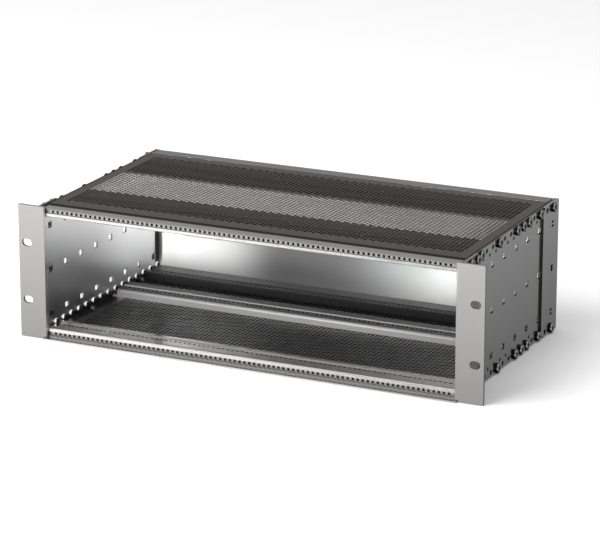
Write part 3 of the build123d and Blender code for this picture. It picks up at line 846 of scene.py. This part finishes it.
# only what is in this collection can stand in an inner light's way: the screws behind the bay
light_blockers = bpy.data.collections.new("inner_light_blockers")
light_blockers.objects.link(rear_group)


def inner_light(name, place, aim, size, power, *pieces):
    """A light that only the named pieces take and mirror, through whatever is in front of them."""
    made = area_light(name, place, aim, size, power)
    lit = bpy.data.collections.new(name + "_lit")
    for piece in pieces:
        lit.objects.link(bpy.data.objects[piece])
    made.light_linking.receiver_collection = lit
    made.light_linking.blocker_collection = light_blockers
    # otherwise the pieces in front would still hide the light from bare metal
    made.data.cycles.use_multiple_importance_sampling = False
    made.visible_glossy = True


def inner_screen(name, middle, direction, width, height, level, piece):
    """A glowing screen of an even level, seen by one piece."""
    inner_light(name, middle, Vector(middle) + Vector(direction), (width, height),
                level * math.pi * width * height, piece)


rear_sheet_name, left_sheet_name = "rear_panel_sheet", "side_panel_left_sheet"
area_light("soft_light_left", (-0.85, -1.2, 1.72), (0.1, 0.1, 0), (1.8, 1.8), 56)
inner_light("inner_light_front", (0.0, -0.50, -0.03), (0.2, 0.2, 0.0), (0.16, 0.12), 0.8, rear_sheet_name)
inner_light("inner_light_right", (0.28, -0.50, -0.02), (-0.2, 0.2, 0.0), (0.20, 0.14), 3.2,
            rear_sheet_name, left_sheet_name)
inner_light("inner_light_left", (-0.20, -0.50, 0.08), (0.0, 0.14, -0.05), (0.40, 0.10), 1.5,
            "middle_rail_bottom_extrusion")
inner_light("inner_light_high", (-0.05, -0.50, 0.45), (-0.216, 0.12, -0.055), (0.30, 0.30), 6,
            left_sheet_name)
screen_spans = [(-0.42, high_x, 0.58) for high_x in (-0.141, -0.162, -0.183)]
screen_spans += [(low_x, 0.115, 0.38) for low_x in (-0.023, 0.008, 0.034, 0.055)]
for low_x, high_x, level in screen_spans:
    inner_screen("inner_screen", ((low_x + high_x) / 2, 0.15, -0.012), (0, 1, 0), high_x - low_x, 0.13,
                 level, rear_sheet_name)
for low_y, high_y, level in ((0.175, 0.38, 0.35), (0.215, 0.38, 0.5)):
    inner_screen("inner_side_screen", (-0.18, (low_y + high_y) / 2, -0.028), (-1, 0, 0), high_y - low_y,
                 0.09, level, left_sheet_name)

world = bpy.data.worlds.new("studio_room")
bpy.context.scene.world = world
world.use_nodes = True
room = world.node_tree
direction = split_xyz(room, put(room, "ShaderNodeTexCoord").outputs["Generated"])


def room_ramp(value, stops):
    """A ramp of greys with its stops as (position, value)."""
    ramp = put(room, "ShaderNodeValToRGB", {0: value})
    marks = ramp.color_ramp.elements
    marks[0].position, marks[1].position = stops[0][0], stops[-1][0]
    for position, _ in stops[1:-1]:
        marks.new(position)
    for mark, (_, value) in zip(marks, stops):
        mark.color = (value, value, value, 1)
    return ramp.outputs["Color"]


# bearing in degrees, 0 in front of the subrack and growing to its left
bearing = calc(room, "ARCTAN2", calc(room, "MULTIPLY", direction["X"], -1.0),
               calc(room, "MULTIPLY", direction["Y"], -1.0))
turn_share = calc(room, "ADD", calc(room, "DIVIDE", bearing, 2 * math.pi), 0.5)
wall_stops = [(-180, 0.26), (-158, 0.22), (-120, 0.25), (-60, 1.0), (-20, 1.2), (21.6, 1.05),
              (23.0, 0.27), (25.0, 0.27), (26.4, 1.9), (28.4, 1.8), (30.2, 0.8), (31.2, 0.8), (34, 1.7),
              (60, 0.9), (90, 0.6), (150, 0.30), (180, 0.26)]
brightest = 2.0
walls = room_ramp(turn_share, [(degrees / 360 + 0.5, value / brightest) for degrees, value in wall_stops])

# height is the sine of the elevation
level_share = calc(room, "ADD", calc(room, "MULTIPLY", direction["Z"], 0.5), 0.5)
level_stops = [(-1.0, 0.0), (-0.5, 0.05), (-0.38, 0.6), (-0.3, 1.0), (-0.08, 1.0), (0.05, 0.30), (0.3, 0.12),
               (0.5, 0.0), (1.0, 0.0)]
levels = room_ramp(level_share, [(height / 2 + 0.5, value) for height, value in level_stops])
sky_stops = [(-1.0, 0.0), (0.0, 0.0), (0.2, 0.26), (0.4, 0.26), (0.5, 0.05), (0.7, 0.1), (0.8, 1.0),
             (1.0, 1.0)]
sky = room_ramp(level_share, [(height / 2 + 0.5, value) for height, value in sky_stops])
mirrored = put(room, "ShaderNodeVectorMath", {0: walls, 1: levels}, operation="MULTIPLY").outputs[0]
mirrored = put(room, "ShaderNodeVectorMath", {0: mirrored, "Scale": brightest}, operation="SCALE").outputs[0]
mirrored = put(room, "ShaderNodeVectorMath", {0: mirrored, 1: sky}, operation="ADD").outputs[0]

# bare metal mirrors the room, matt surfaces get its even light, and the camera sees white
path = put(room, "ShaderNodeLightPath").outputs
seen = put(room, "ShaderNodeMix", {"Factor": path["Is Glossy Ray"], 6: (0.78, 0.78, 0.78, 1), 7: mirrored},
           data_type="RGBA").outputs[2]
seen = put(room, "ShaderNodeMix", {"Factor": path["Is Camera Ray"], 6: seen, 7: (1.0, 1.0, 1.0, 1)},
           data_type="RGBA").outputs[2]
room.links.new(seen, room.nodes["Background"].inputs["Color"])
bpy.context.scene.view_settings.view_transform = "Standard"

azimuth, elevation, distance = math.radians(25.285), math.radians(16.935), 2.831
back = Vector((math.sin(azimuth) * math.cos(elevation), -math.cos(azimuth) * math.cos(elevation),
               math.sin(elevation)))
target = Vector((57.7, -3.0, 40.8)) * mm
camera_data = bpy.data.cameras.new("studio_camera")
camera_data.lens = 184.4
camera_data.sensor_width = 36.0
camera_data.clip_end = 60.0
camera = bpy.data.objects.new("studio_camera", camera_data)
camera.location = target + back * distance
camera.rotation_euler = (-back).to_track_quat("-Z", "Y").to_euler()
bpy.context.scene.collection.objects.link(camera)
bpy.context.scene.camera = camera
